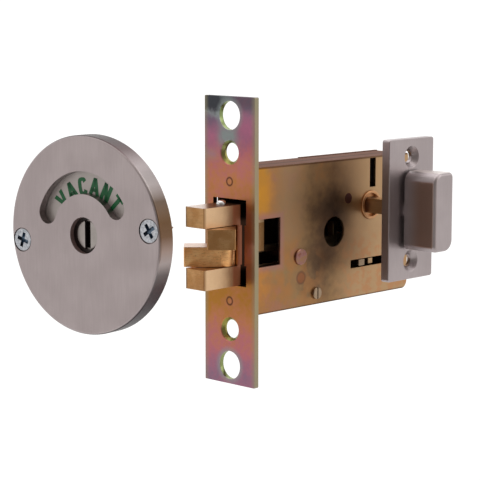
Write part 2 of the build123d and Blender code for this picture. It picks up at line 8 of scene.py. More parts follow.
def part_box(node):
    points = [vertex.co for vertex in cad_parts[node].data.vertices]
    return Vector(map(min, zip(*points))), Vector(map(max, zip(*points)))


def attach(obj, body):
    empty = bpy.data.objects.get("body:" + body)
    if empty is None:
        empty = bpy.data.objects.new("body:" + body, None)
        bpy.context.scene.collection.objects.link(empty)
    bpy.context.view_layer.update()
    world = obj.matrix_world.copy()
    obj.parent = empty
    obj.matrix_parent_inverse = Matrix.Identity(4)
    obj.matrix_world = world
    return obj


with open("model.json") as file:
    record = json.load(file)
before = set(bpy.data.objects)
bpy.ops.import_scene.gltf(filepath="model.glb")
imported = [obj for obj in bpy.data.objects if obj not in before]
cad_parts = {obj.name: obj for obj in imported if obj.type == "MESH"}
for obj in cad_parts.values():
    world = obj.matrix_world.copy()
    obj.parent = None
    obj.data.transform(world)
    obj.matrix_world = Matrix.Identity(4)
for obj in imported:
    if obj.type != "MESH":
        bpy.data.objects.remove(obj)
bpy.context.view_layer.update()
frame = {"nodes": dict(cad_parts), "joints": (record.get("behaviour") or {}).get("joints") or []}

part = frame["nodes"]
mm = 0.001


# Forend
# The long plate let into the door's edge. It is 2 mm steel, blanked, drilled and countersunk, then
# zinc plated and dipped in a passivate that dries to patches of slate, lilac, pink, orange and gold.


class Wire:
    """A socket of a node board, worked with like a number."""

    def __init__(self, board, socket):
        self.board = board
        self.socket = socket

    def do(self, operation, *others):
        values = dict(enumerate((self, *others)))
        return self.board.add("ShaderNodeMath", {"operation": operation}, values)

    def __add__(self, other):
        return self.do("ADD", other)

    def __mul__(self, other):
        return self.do("MULTIPLY", other)

    def __sub__(self, other):
        return self.do("SUBTRACT", other)

    def __truediv__(self, other):
        return self.do("DIVIDE", other)

    def __pow__(self, other):
        return self.do("POWER", other)

    def __rsub__(self, other):
        return self.board.add("ShaderNodeMath", {"operation": "SUBTRACT"}, {0: other, 1: self})

    def __rtruediv__(self, other):
        return self.board.add("ShaderNodeMath", {"operation": "DIVIDE"}, {0: other, 1: self})

    def __neg__(self):
        return self * -1

    __radd__ = __add__
    __rmul__ = __mul__

    def size(self):
        return self.do("ABSOLUTE")

    def held(self, low, high):
        return self.do("MAXIMUM", low).do("MINIMUM", high)

    def rise(self, low, high):
        """0 below low, 1 above high, and a smooth step between them."""
        settings = {"interpolation_type": "SMOOTHSTEP"}
        sockets = {"Value": self, "From Min": low, "From Max": high}
        return self.board.add("ShaderNodeMapRange", settings, sockets)

    def hump(self, middle, reach):
        """1 at the middle, fading to 0 at that reach either side."""
        return 1 - (self - middle).size().rise(0, reach)


class Board:
    """A node tree of a material or of the world, with what it builds from."""

    def __init__(self, tree, shader, coordinates, scale):
        self.tree = tree
        self.shader = tree.nodes[shader]
        place = self.add("ShaderNodeTexCoord", output=coordinates)
        self.place = self.vector("SCALE", place, Scale=scale)
        split = self.tree.nodes.new("ShaderNodeSeparateXYZ")
        self.tree.links.new(self.place.socket, split.inputs[0])
        self.x, self.y, self.z = (Wire(self, socket) for socket in split.outputs)

    def put(self, socket, value):
        if isinstance(value, Wire):
            self.tree.links.new(value.socket, socket)
        elif socket.type == "RGBA":
            socket.default_value = (*value, 1)
        else:
            socket.default_value = value

    def add(self, kind, settings=None, sockets=None, output=0):
        node = self.tree.nodes.new(kind)
        for name, value in (settings or {}).items():
            if name == "stops":
                ramp = node.color_ramp.elements
                while len(ramp) < len(value):
                    ramp.new(0.5)
                for stop, (place, colour) in zip(ramp, value):
                    stop.position = place
                    stop.color = (*colour, 1)
            else:
                setattr(node, name, value)
        for name, value in (sockets or {}).items():
            self.put(node.inputs[name], value)
        return Wire(self, node.outputs[output])

    def vector(self, operation, first, second=None, **sockets):
        values = {0: first, **sockets}
        if second is not None:
            values[1] = second
        return self.add("ShaderNodeVectorMath", {"operation": operation}, values)

    def along(self, direction):
        """How far a point lies along a direction."""
        sockets = {0: self.place, 1: direction}
        return self.add("ShaderNodeVectorMath", {"operation": "DOT_PRODUCT"}, sockets, "Value")

    def ramp(self, value, stops):
        return self.add("ShaderNodeValToRGB", {"stops": stops}, {"Fac": value})

    def mix(self, factor, first, second, blend="MIX"):
        settings = {"data_type": "RGBA", "blend_type": blend}
        return self.add("ShaderNodeMix", settings, {0: factor, 6: first, 7: second}, 2)

    def wear(self, **sockets):
        """Sets inputs of the shader, fixed or changing over the surface."""
        for socket, value in sockets.items():
            self.put(self.shader.inputs[socket.replace("_", " ")], value)


class Finish(Board):
    """A surface finish, built from the piece's own coordinates in millimetres."""

    def __init__(self, name, **sockets):
        self.material = bpy.data.materials.new(name)
        self.material.use_nodes = True
        super().__init__(self.material.node_tree, "Principled BSDF", "Object", 1 / mm)
        self.wear(**sockets)

    def noise(self, grain, detail=3, stretch=(1, 1, 1), shift=0):
        """Cloudy noise about 0.5, whose lumps are about that many millimetres across."""
        place = self.vector("MULTIPLY", self.place, stretch)
        place = self.vector("ADD", place, (shift, shift, shift))
        sockets = {"Vector": place, "Scale": 1 / grain, "Detail": detail}
        return self.add("ShaderNodeTexNoise", None, sockets)

    def relief(self, height, depth, strength=1.0):
        """Raises the surface where the height is 1, to that depth in millimetres."""
        sockets = {"Height": height, "Distance": depth * mm, "Strength": strength}
        self.wear(Normal=self.add("ShaderNodeBump", None, sockets))


def dress(node, finish, edge=0):
    """Gives a CAD piece its finish and breaks its sharp edges by that many millimetres."""
    piece = part[node]
    piece.data.materials.clear()
    piece.data.materials.append(finish.material)
    if edge:
        weld = piece.modifiers.new("weld", "WELD")
        weld.merge_threshold = 0.001 * mm
        broken = piece.modifiers.new("broken edge", "BEVEL")
        broken.width = edge * mm
        broken.segments = 2
        broken.limit_method = "ANGLE"
        broken.angle_limit = math.radians(40)
        broken.harden_normals = True


slate = (0.060, 0.064, 0.075)
blue_grey = (0.310, 0.360, 0.355)
lilac = (0.250, 0.175, 0.250)
magenta = (0.385, 0.172, 0.250)
rose = (0.530, 0.190, 0.310)
coral = (0.530, 0.180, 0.205)
orange = (0.560, 0.220, 0.110)
gold = (0.500, 0.225, 0.042)
olive = (0.330, 0.300, 0.190)
passivate = [
    (0.00, slate),
    (0.14, blue_grey),
    (0.28, lilac),
    (0.44, magenta),
    (0.60, coral),
    (0.76, orange),
    (0.92, gold),
]
forend_half_width = 12.5
outer_hole_z = 45.2
outer_hole_radius = 5.2
inner_hole_z = 32.0
inner_hole_radius = 3.4
forend_rivet_z = 21.6
forend_rivet_radius = 1.6
bolt_middle = -0.8
slot_half_width = 8.6
slot_half_height = 17.2
slot_fade = 0.4


def hole_distance(finish, z):
    return (finish.y ** 2 + (finish.z.size() - z) ** 2) ** 0.5


film = Finish("rainbow passivated forend")
height = film.z.size()
mottle = film.noise(1.7, 3, shift=53) - 0.5
film_depth = 0.78 - height.rise(20, 50) * 0.40 + (film.noise(9, 4) - 0.5) * 0.45 + mottle * 0.22
film_depth = film_depth + film.z.rise(4, -20) * 0.10 - film.z.rise(20, 34) * 0.06
film_depth = film_depth - film.z.rise(40, 52) * film.y.rise(-4, 10) * 0.50
film_depth = film_depth - film.z.rise(-38, -50) * 0.08
colour = film.ramp(film_depth.held(0, 1), passivate)
between = film.z.hump(37.5, 6) * (film.y - 1).size().rise(8, 1) * (1.1 + mottle * 1.5)
between = between + film.z.hump(31, 4) * film.y.rise(3, 9) * 0.35
colour = film.mix(between.held(0, 1), colour, blue_grey)
rosy = film.z.hump(41, 8) * (-film.y).rise(2, 8) * 0.85
rosy = rosy + film.z.hump(38, 7) * film.y.rise(4, 8) * 0.55
colour = film.mix((rosy * (1 + mottle)).held(0, 1), colour, rose)
dusk = film.z.hump(43, 6) * film.y.rise(5, 9) * 0.55
colour = film.mix(dusk, colour, (0.190, 0.130, 0.190))
top_shade = film.z.rise(45, 50) * (1 - hole_distance(film, outer_hole_z).hump(0, 7))
colour = film.mix(top_shade * 0.6, colour, slate)
stain = (film.z - bolt_middle).size().rise(14, 11) * (-film.y).rise(5, 8)
colour = film.mix(stain * 0.7, colour, (0.26, 0.055, 0.024))
edge_shade = film.y.size().rise(forend_half_width - 2.4, forend_half_width - 0.2)
edge_shade = edge_shade * (0.25 + film.noise(14, 2, shift=40) * 0.5)
colour = film.mix(edge_shade, colour, olive)
outer_edge = hole_distance(film, outer_hole_z)
hole_ring = 1 - outer_edge.rise(outer_hole_radius, outer_hole_radius + 2.4)
colour = film.mix(hole_ring * 0.55, colour, blue_grey)
rivet_ring = hole_distance(film, forend_rivet_z).hump(forend_rivet_radius - 0.2, 0.6)
colour = film.mix(rivet_ring * 0.85, colour, (0.05, 0.02, 0.02))
inner_edge = hole_distance(film, inner_hole_z)
wall = 1 - outer_edge.rise(outer_hole_radius + 0.1, outer_hole_radius + 0.3)
wall = wall + 1 - inner_edge.rise(inner_hole_radius + 0.8, inner_hole_radius + 1.2)
colour = film.mix(wall * film.x.rise(0.05, 0.4) * 0.75, colour, (0.25, 0.33, 0.07))
side_face = film.y.size().rise(forend_half_width - 0.06, forend_half_width - 0.01)
colour = film.mix(side_face * 0.8, colour, olive)
beside_slot = film.y.size().rise(slot_half_width, slot_half_width + slot_fade)
past_slot = (film.z - bolt_middle).size().rise(slot_half_height, slot_half_height + slot_fade)
# Painted shade: the walls inside the bolt's slot are painted near black and made rougher.
shaded_slot_wall = film.x.rise(0.05, 0.2) * (1 - beside_slot) * (1 - past_slot)
colour = film.mix(shaded_slot_wall * 0.95, colour, (0.016, 0.010, 0.008))
roughness = 0.26 + film.noise(5, 3, shift=7) * 0.16 + shaded_slot_wall * 0.4
metal = 1 - stain * (1 - shaded_slot_wall) * 0.5
film.wear(Base_Color=colour, Roughness=roughness, Metallic=metal)
film.relief(film.noise(1.2, 3) - rivet_ring, 0.03, 0.4)
dress("forend", film, 0.25)
dress("forend_rivets", film)


# Case
# A shallow tray of 1.2 mm steel with a flat cover laid over it, both pressed and pierced before
# plating. The bath leaves gold by the forend, pink round the cuts and bronze towards the rear.

case_finish = Finish("golden passivated case")
tone = [
    (0.00, (0.070, 0.040, 0.025)),
    (0.25, (0.160, 0.097, 0.055)),
    (0.50, (0.305, 0.183, 0.086)),
    (0.68, (0.390, 0.190, 0.072)),
    (0.84, (0.500, 0.225, 0.060)),
    (1.00, (0.600, 0.300, 0.045)),
]
case_half_height = 26.6
case_half_thickness = 8.0
case_rear = 91.0
window_rear = 18.1
window_half = 8.7
window_middle = -0.8
flush_rivet_x = 29.3
flush_rivet_z = -15.7
film = case_finish
from_front = 1 - film.x.rise(3, 34)
# Painted reflection: dark patches where the case reflects the unlit back of the knob plate.
dark_reflection = film.x.hump(46, 18) * film.z.hump(7, 15)
lower_dark_reflection = film.x.hump(42, 16) * film.z.hump(-12, 18)
cloud = film.noise(11, 4, shift=11) - 0.5 + (film.noise(2.6, 4, shift=37) - 0.5) * 0.45
shade = 0.46 + from_front * 0.36 + cloud * 0.60 - dark_reflection * 0.42 - lower_dark_reflection * 0.26
shade = shade - film.z.rise(-12, -24) * (1 - film.x.rise(12, 34)) * 0.10
colour = film.ramp(shade.held(0, 1), tone)
amber = film.noise(4.5, 3, shift=83).rise(0.44, 0.60) * film.z.rise(-4, -10)
amber = amber * (1 - film.x.rise(34, 46))
colour = film.mix(amber * 0.4, colour, (0.430, 0.185, 0.060))
pink = film.noise(7, 3, shift=3).rise(0.50, 0.68) * (1 - film.x.rise(18, 42))
colour = film.mix(pink * 0.6, colour, (0.38, 0.170, 0.120))
green = film.noise(8, 3, shift=29).rise(0.54, 0.70) * (1 - film.x.rise(10, 40))
colour = film.mix(green * 0.5, colour, (0.26, 0.220, 0.110))
gilt = (1 - film.x.rise(9, 15)) * film.z.rise(7, 12)
colour = film.mix(gilt * 0.5, colour, (0.640, 0.300, 0.020))
grey_brown = film.x.hump(23, 13) * film.z.rise(-6, 4)
colour = film.mix(grey_brown * 0.6, colour, (0.380, 0.245, 0.140))
rear = film.x.rise(44, 62) * (1 - dark_reflection * 0.9)
colour = film.mix(rear * 0.75, colour, (0.540, 0.350, 0.190))
patches = film.noise(3.5, 3, shift=71).rise(0.44, 0.60) * rear * film.z.rise(2, -10)
colour = film.mix(patches * 0.7, colour, (0.500, 0.240, 0.110))
window_edge = (film.x - window_rear).do("MAXIMUM", (film.z - window_middle).size() - window_half)
rolled = 1 - window_edge.rise(0.4, 3.0)
colour = film.mix(rolled * 0.45, colour, (0.360, 0.170, 0.190))
top_wall = film.z.rise(case_half_height - 0.15, case_half_height - 0.02)
colour = film.mix(top_wall * 0.95, colour, (0.125, 0.042, 0.021))
# Painted shade: a dark band along the top of the face, where its edge rounds over.
shaded_top_edge = film.z.rise(case_half_height - 0.8, case_half_height - 0.5) * (1 - top_wall)
colour = film.mix(shaded_top_edge * 0.7, colour, (0.090, 0.036, 0.020))
seam = top_wall * film.y.hump(-0.6, 1.1)
colour = film.mix(seam * 0.9, colour, (0.020, 0.005, 0.004))
low_edge = (-film.z).rise(case_half_height - 0.7, case_half_height - 0.1)
colour = film.mix(low_edge * 0.8, colour, (0.060, 0.030, 0.018))
rivet_edge = ((film.x - flush_rivet_x) ** 2 + (film.z - flush_rivet_z) ** 2) ** 0.5
colour = film.mix((1 - rivet_edge.rise(1.7, 2.3)) * 0.65, colour, (0.270, 0.085, 0.035))
colour = film.mix(rivet_edge.hump(2.2, 0.7) * 0.6, colour, (0.130, 0.050, 0.035))
outer_side = (film.y.size() - case_half_thickness).do("MAXIMUM", film.z.size() - case_half_height)
# Painted shade: the faces inside the case and the walls of its cuts are painted near black.
inside = 1 - outer_side.do("MAXIMUM", film.x - case_rear).rise(-0.8, -0.4)
colour = film.mix(inside * 0.9, colour, (0.018, 0.011, 0.008))
roughness = 0.28 + film.noise(6, 3, shift=21) * 0.18 + top_wall * 0.45 + inside * 0.3
film.wear(Base_Color=colour, Roughness=roughness, Metallic=1 - top_wall * 0.75)
film.relief(film.noise(0.9, 3), 0.02, 0.4)
dress("case_tray", case_finish, 0.15)
dress("case_cover", case_finish, 0.12)


# Posts and rivets of the case
# Turned steel posts riveted over at both ends hold the two sheets apart, and the headed one guides
# the tail as well. They are plated with the case, so their ends turn pink and red.

film = Finish("passivated rivet", Metallic=1.0, Roughness=0.34)
colour = film.ramp(film.noise(2.5, 3, shift=5), [
    (0.30, (0.24, 0.090, 0.050)),
    (0.50, (0.33, 0.165, 0.150)),
    (0.70, (0.34, 0.190, 0.090)),
])
# The upper ends are painted dark red: partly their plating, partly painted shade round them.
colour = film.mix(film.z.rise(2, 6) * 0.85, colour, (0.060, 0.018, 0.018))
film.wear(Base_Color=colour)
film.relief(film.noise(0.5, 2), 0.02, 0.5)
dress("guide_post", film, 0.1)
dress("stop_post", film)
dress("flush_rivet", case_finish)


# Cover screw and its pillar
# A small slotted cheese-head screw through the cover into a tapped pillar, the one fixing that
# comes out to open the case. Both are bright zinc that has yellowed a little.

screw_finish = Finish("yellowed zinc", Metallic=1.0)
film = screw_finish
colour = film.mix(film.noise(1.5, 3), (0.33, 0.235, 0.150), (0.40, 0.300, 0.210))
film.wear(Base_Color=colour, Roughness=0.28 + film.noise(0.8, 2) * 0.2)
dress("cover_screw", screw_finish, 0.12)
dress("cover_pillar", screw_finish)


# Leaf spring
# A strip of blued spring steel, bent to a foot over the follower, that holds the knob at either end
# of its turn. Only its edge shows, in the upright slot over the follower.

spring_finish = Finish("blued spring steel", Metallic=1.0)
film = spring_finish
colour = film.mix(film.noise(2, 2), (0.05, 0.05, 0.06), (0.11, 0.11, 0.13))
film.wear(Base_Color=colour, Roughness=0.35 + film.noise(1, 2) * 0.2)
dress("leaf_spring", spring_finish)


# Bolt head and claws
# Sawn and milled brass: a fork with two square fingers, and between them two claws with round heels
# that swing out to either side. Fine mill lines cross the faces, with a few small pits and dull spots.


def brass(name, shift, light=1.0):
    """Milled brass with its colour, the light factor scaling that colour as painted light and shade.
    """
    finish = Finish(name, Metallic=1.0)
    patch = finish.noise(4, 4, shift=shift)
    lines = finish.noise(1.0, 3, (0.6, 0.6, 5), shift)
    pits = finish.noise(0.45, 2, shift=shift + 9).rise(0.64, 0.72)
    warm = [value * light for value in (0.54, 0.275, 0.105)]
    pale = [value * light for value in (0.65, 0.375, 0.165)]
    colour = finish.mix(patch.rise(0.35, 0.65), warm, pale)
    colour = finish.mix(lines.rise(0.4, 0.7) * 0.4, colour, (0.40, 0.21, 0.080))
    colour = finish.mix(pits * 0.45, colour, (0.16, 0.08, 0.03))
    finish.wear(Base_Color=colour, Roughness=0.26 + lines * 0.14 + patch * 0.1)
    finish.relief(lines - pits, 0.03, 0.5)
    return finish, colour


bolt_half_width = 5.0
bolt_low, bolt_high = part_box("bolt_head")
bolt_tip = bolt_low[0] / mm
bolt_top = bolt_high[2] / mm
claw_level_half = 7.25
film, colour = brass("milled brass", 0)
near_side = (-film.y).rise(bolt_half_width - 0.15, bolt_half_width - 0.02)
finger = (film.z - bolt_middle).size().rise(claw_level_half - 0.3, claw_level_half)
# Painted sheen on the near sides of the fingers; painted shade on the near side between them.
colour = film.mix(near_side * finger * 0.6, colour, (0.90, 0.67, 0.43))
colour = film.mix(near_side * (1 - finger) * 0.6, colour, (0.30, 0.14, 0.050))
# Painted reflection: the near side by the forend is painted red-brown, the orange forend in it.
forend_reflection = near_side * film.x.rise(-5.0, -2.6) * (1 - film.x.rise(3.5, 5.0))
colour = film.mix(forend_reflection * 0.9, colour, (0.360, 0.090, 0.028))
# Painted reflection: finger tops painted grey-white, and dark at the end towards the case.
finger_top = film.z.rise(bolt_top - 0.15, bolt_top - 0.02)
towards_case = film.along((0.70, -0.71, 0)).rise(-8.6, -7.0)
colour = film.mix(finger_top * (1 - towards_case) * 0.7, colour, (0.74, 0.68, 0.66))
colour = film.mix(finger_top * towards_case * 0.85, colour, (0.075, 0.036, 0.022))
# Painted shade: the rounded corners of the finger tips are painted darker.
shaded_tip = finger * (1 - film.x.rise(bolt_tip + 0.2, bolt_tip + 1.2))
colour = film.mix(shaded_tip * film.y.rise(3.4, 4.2) * 0.75, colour, (0.190, 0.120, 0.065))
colour = film.mix(shaded_tip * (-film.y).rise(4.2, 4.6) * 0.6, colour, (0.240, 0.110, 0.035))
# Painted shade: the brass inside the case is painted dark.
in_case_shade = film.x.rise(6.0, 13.5)
colour = film.mix(in_case_shade * 0.8, colour, (0.100, 0.055, 0.022))
# Painted shade: the near side is painted near black where it runs in the forend's slot.
forend_slot_shade = near_side * (finger * film.x.rise(0.2, 0.7) + (1 - finger) * film.x.rise(0.9, 1.4))
forend_slot_shade = (forend_slot_shade * (1 - film.x.rise(3.0, 4.5))).held(0, 1)
colour = film.mix(forend_slot_shade * 0.96, colour, (0.012, 0.007, 0.004))
film.wear(Base_Color=colour, Metallic=1 - forend_reflection * (1 - forend_slot_shade) * 0.75)
dress("bolt_head", film, 0.3)
# Painted shade: the near claw is the same brass darkened to 0.82.
dress("near_claw", brass("milled brass of the near claw", 17, 0.82)[0], 0.3)
# Painted light: the far claw is the same brass lightened to 1.7.
film, colour = brass("milled brass of the far claw", 31, 1.7)
claw_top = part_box("far_claw")[1][2] / mm
# Painted highlight: the far claw's top face is painted pale grey.
lit_upper_face = film.z.rise(claw_top - 0.15, claw_top - 0.02)
film.wear(Base_Color=film.mix(lit_upper_face * 0.8, colour, (0.60, 0.50, 0.46)))
dress("far_claw", film, 0.3)


# Claw pin and claw spring
# A bright steel pin with a domed head, pressed through the fork and both claws, with a small wound
# spring round it between the claws that spreads them as they leave the forend.

steel_finish = Finish("bright turned steel", Metallic=1.0)
film = steel_finish
turning = film.noise(0.35, 2, (1, 1, 6))
colour = film.mix(film.noise(3, 2), (0.70, 0.70, 0.71), (0.84, 0.83, 0.81))
film.wear(Base_Color=colour, Roughness=0.18 + turning * 0.16)
film.relief(turning, 0.01, 0.4)
dress("claw_pin", steel_finish)
dress("claw_spring", spring_finish)


# Bolt tail
# A 2.4 mm steel plate riveted into the slot of the brass shank. It slides on the guide post, and its
# yoke takes the follower's pin; a stud and a tab show its place in the level slot of the cover.

film = Finish("golden passivated tail", Metallic=1.0)
colour = film.mix(film.noise(6, 3, shift=61), (0.40, 0.260, 0.140), (0.58, 0.400, 0.230))
film.wear(Base_Color=colour, Roughness=0.30 + film.noise(2, 3) * 0.16)
dress("bolt_tail", film, 0.15)
# Painted shade: the tail rivets are the same brass darkened to 0.4, inside the case.
dress("tail_rivets", brass("brass tail rivet", 47, 0.4)[0])
dress("tail_stud", screw_finish, 0.12)


# Follower and drive pin
# A hub with a square hole for the spindle and rolled rims on both faces of the case, plated a deep
# copper brown, with an arm inside that carries the drive pin into the tail's yoke.

film = Finish("copper brown follower", Metallic=1.0)
colour = film.mix(film.noise(3, 3), (0.46, 0.235, 0.115), (0.68, 0.38, 0.185))
film.wear(Base_Color=colour, Roughness=0.28 + film.noise(1.5, 3) * 0.16)
dress("follower", film)
dress("drive_pin", steel_finish)


# Spindle
# A 5.6 mm square steel bar, drawn and passivated brown, that runs from the knob through the
# follower towards the outer side of the door. Its drawn lines run along it.

film = Finish("brown passivated spindle", Metallic=1.0)
drawn = film.noise(1.2, 3, (4, 0.25, 4))
colour = film.mix(drawn, (0.46, 0.30, 0.175), (0.62, 0.44, 0.270))
film.wear(Base_Color=colour, Roughness=0.28 + drawn * 0.2)
film.relief(drawn, 0.02, 0.5)
dress("spindle", film, 0.25)


# Knob plate
# A cast plate, 3.4 mm thick, with two countersunk holes, plated in satin nickel and brushed upright
# before the last clear coat.


def satin(name, stretch, shift, light=1.0):
    """Satin nickel whose brush lines are long where the stretch is small, with its colour; the light
    factor scales that colour as painted light.
    """
    finish = Finish(name, Metallic=1.0)
    brush = finish.noise(0.5, 4, stretch, shift)
    cloud = finish.noise(14, 2, shift=shift)
    dull = [value * light for value in (0.41, 0.358, 0.363)]
    clear = [value * light for value in (0.46, 0.405, 0.410)]
    colour = finish.mix(cloud.rise(0.3, 0.7), dull, clear)
    colour = finish.mix(brush * 0.35, colour, (0.33, 0.29, 0.285))
    finish.wear(Base_Color=colour, Roughness=0.30 + brush * 0.16)
    finish.relief(brush, 0.012, 0.5)
    return finish, colour


dress("snib_plate", satin("satin nickel plate", (1, 1, 0.08), 0)[0], 0.1)


# Turn knob
# A solid oblong knob on a short neck, cast in one, with its corners rounded by turns large and small.
# It is held to the plate by a circlip behind and to the spindle by a grub screw from below.

knob_low, knob_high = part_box("snib_knob")
film, colour = satin("satin nickel knob", (1, 1, 0.08), 5)
# Painted reflection: the front of the knob's left side is painted brown, the golden case in it.
reflecting_left_side = 1 - film.x.rise(knob_low[0] / mm + 0.02, knob_low[0] / mm + 0.14)
reflecting_left_side = reflecting_left_side * (-film.y).rise(31, 37)
colour = film.mix(reflecting_left_side * 0.7, colour, (0.330, 0.225, 0.180))
# Painted highlight: the knob's top face is painted lighter.
lit_top_side = film.z.rise(knob_high[2] / mm - 0.4, knob_high[2] / mm - 0.05)
colour = film.mix(lit_top_side * 0.8, colour, (0.66, 0.60, 0.57))
film.wear(Base_Color=colour)
dress("snib_knob", film)
dress("knob_circlip", spring_finish)
dress("knob_grub_screw", steel_finish)


# Indicator plate
# A turned and brushed disc, 71 mm across and 6.8 mm thick, with a curved sight opening and a dished
# hole for the coin turn, satin nickel plated like the knob plate.

turn_joint = next(j for j in frame["joints"] if j["name"] == "indicator_turn")
outward = Vector(turn_joint["axis"]).normalized()
upward = Vector((0, 0, 1))
rightward = upward.cross(outward)
plate_roll = math.radians(7.6)
disc_radius = 35.4
disc_thickness = 6.8
dish_radius = 6.5
dish_depth = 2.4


def reach(node):
    """How far a piece reaches along the indicator's outward direction."""
    return max(v.co.dot(outward) for v in part[node].data.vertices)


dial_axis = Vector(turn_joint["pos_m"])
dial_axis -= outward * dial_axis.dot(outward)
plate_face = reach("indicator_plate")


def sunk(finish):
    """The depth below the disc's face, in millimetres."""
    return plate_face / mm - finish.along(outward)


def from_axis(finish):
    """The distance from the disc's own axis, in millimetres."""
    across = finish.along(rightward) - dial_axis.dot(rightward) / mm
    return (across ** 2 + (finish.z - dial_axis.z / mm) ** 2) ** 0.5


# Painted light: the disc is the knob's satin nickel lightened to 1.17.
film, colour = satin("satin nickel disc", (1, 1, 0.06), 13, 1.17)
# Painted shade: sunk faces of the disc are painted dark, the dish wall brown and less metallic, its
# foot near black.
wall = sunk(film).rise(0.03, 0.3) * (1 - from_axis(film).rise(disc_radius - 0.9, disc_radius - 0.4))
wall = wall * (1 - sunk(film).rise(disc_thickness - 0.3, disc_thickness - 0.1))
shaded_dish_wall = sunk(film).rise(0.1, 0.3) * (1 - from_axis(film).rise(dish_radius, dish_radius + 0.4))
colour = film.mix(wall * 0.55, colour, (0.10, 0.075, 0.070))
colour = film.mix(shaded_dish_wall * 0.9, colour, (0.170, 0.104, 0.096))
shaded_dish_foot = shaded_dish_wall * sunk(film).rise(dish_depth - 0.7, dish_depth - 0.2)
colour = film.mix(shaded_dish_foot * 0.95, colour, (0.012, 0.007, 0.006))
# Painted reflections: the rim is painted in light and dark bands by height.
rim = from_axis(film).rise(disc_radius - 0.5, disc_radius - 0.1)
rim_height = (film.z - dial_axis.z / mm) / (2 * disc_radius) + 0.5
rim_reflections = film.ramp(rim_height, [
    (0.00, (0.026, 0.019, 0.021)),
    (0.16, (0.042, 0.032, 0.036)),
    (0.28, (0.110, 0.092, 0.094)),
    (0.34, (0.170, 0.150, 0.150)),
    (0.40, (0.430, 0.370, 0.360)),
    (0.46, (0.390, 0.290, 0.250)),
    (0.53, (0.200, 0.118, 0.070)),
    (0.60, (0.145, 0.082, 0.042)),
    (0.70, (0.145, 0.104, 0.078)),
    (0.78, (0.500, 0.450, 0.440)),
    (0.86, (0.370, 0.320, 0.320)),
    (0.94, (0.110, 0.075, 0.075)),
    (1.00, (0.040, 0.025, 0.025)),
])
colour = film.mix(rim, colour, rim_reflections)
film.wear(Base_Color=colour, Metallic=1 - shaded_dish_wall * 0.85)
dress("indicator_plate", film)
dress("indicator_back", steel_finish)
dress("dial_washer", steel_finish)


# Indicator screws
# Two countersunk cross-head wood screws in bright zinc, with their threads standing out behind the
# plate. They fix the plate to the outer face of the door.

zinc_finish = Finish("bright zinc", Metallic=1.0)
film = zinc_finish
colour = film.mix(film.noise(0.9, 3).rise(0.3, 0.7), (0.38, 0.41, 0.45), (0.66, 0.69, 0.74))
# Painted shade: the cross recesses are painted dark blue.
shaded_recess = sunk(film).rise(0.35, 0.6) * (1 - sunk(film).rise(2.5, 3.5))
colour = film.mix(shaded_recess * 0.95, colour, (0.100, 0.150, 0.210))
film.wear(Base_Color=colour, Roughness=0.22 + film.noise(1, 2) * 0.2)
dress("indicator_screws", zinc_finish)


def indicator_place(right, up, out):
    """A point by its distances right and up from the disc's middle and its place along the axis."""
    return dial_axis + rightward * right + upward * up + outward * out


def make_piece(name, points, faces, finish, body):
    """A flat-shaded piece that rides on a body."""
    mesh = bpy.data.meshes.new(name)
    mesh.from_pydata(points, [], faces)
    mesh.materials.append(finish.material)
    mesh.validate()
    mesh.polygons.foreach_set("use_smooth", [False] * len(mesh.polygons))
    piece = bpy.data.objects.new(name, mesh)
    bpy.context.scene.collection.objects.link(piece)
    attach(piece, body)
    return piece


screw_spacing = 61.0
thread_root = 1.72
thread_crest = 2.15
thread_pitch = 1.4
thread_start = 3.0
thread_end = 11.6
thread_bed = 0.25
thread_foot_share = 0.35
point_overrun = 1.2
point_length = 3.6
point_least_share = 0.12
thread_steps = 24


def screw_thread(name, side):
    """A sharp ridge wound round the shank, fading out at its start and at the point."""
    middle_right = side * screw_spacing / 2 * math.cos(plate_roll) * mm
    middle_up = side * screw_spacing / 2 * math.sin(plate_roll) * mm
    turns = (thread_end - thread_start) / thread_pitch
    count = int(turns * thread_steps)
    points = []
    for i in range(count + 1):
        share = i / count
        angle = 2 * math.pi * turns * share
        depth = thread_start + (thread_end - thread_start) * share
        left_over = (thread_end + point_overrun - depth) / point_length
        point_taper = min(1, max(point_least_share, left_over))
        root = (thread_root - thread_bed) * point_taper
        lift = min(1, share * 8) * point_taper
        crest = root + (thread_crest - thread_root + thread_bed) * lift
        ridge = ((root, -thread_foot_share), (crest, 0), (root, thread_foot_share))
        for radius, along in ridge:
            points.append(indicator_place(
                middle_right + radius * math.cos(angle) * mm,
                middle_up + radius * math.sin(angle) * mm,
                plate_face - (depth + along * thread_pitch) * mm,
            ))
    faces = []
    for i in range(count):
        a, b = 3 * i, 3 * i + 3
        faces += [(a, a + 1, b + 1, b), (a + 1, a + 2, b + 2, b + 1), (a + 2, a, b, b + 2)]
    faces += [(0, 2, 1), (3 * count, 3 * count + 1, 3 * count + 2)]
    make_piece(name, points, faces, zinc_finish, "lock")


screw_thread("screw_thread_right", 1)
screw_thread("screw_thread_left", -1)


# Dial and its words
# A thin lacquered disc behind the sight opening. VACANT is printed on it in green and ENGAGED in
# red, half a turn apart, in bold narrow capitals whose tops point outward.

film = Finish("pale lacquered dial", Metallic=0.6, Coat_Weight=0.3)
colour = film.mix(film.noise(10, 2), (0.46, 0.42, 0.40), (0.53, 0.49, 0.47))
film.wear(Base_Color=colour, Roughness=0.34 + film.noise(1.5, 2) * 0.12)
dress("indicator_dial", film)

letter_height = 6.4
letter_radius = 17.3
letter_lift = 0.05
stroke = 0.25
bar = 0.20
overhang = 0.06
squareness = 0.62
left, right = 0.0, 0.66
middle = (left + right) / 2


def upright(x_low, y_low, x_high, y_high):
    """A stroke of the letter's full stroke width, from one level to another."""
    return [(x_low, y_low), (x_low + stroke, y_low), (x_high + stroke, y_high), (x_high, y_high)]


def level(y, x_low=left, x_high=right):
    return [(x_low, y), (x_high, y), (x_high, y + bar), (x_low, y + bar)]


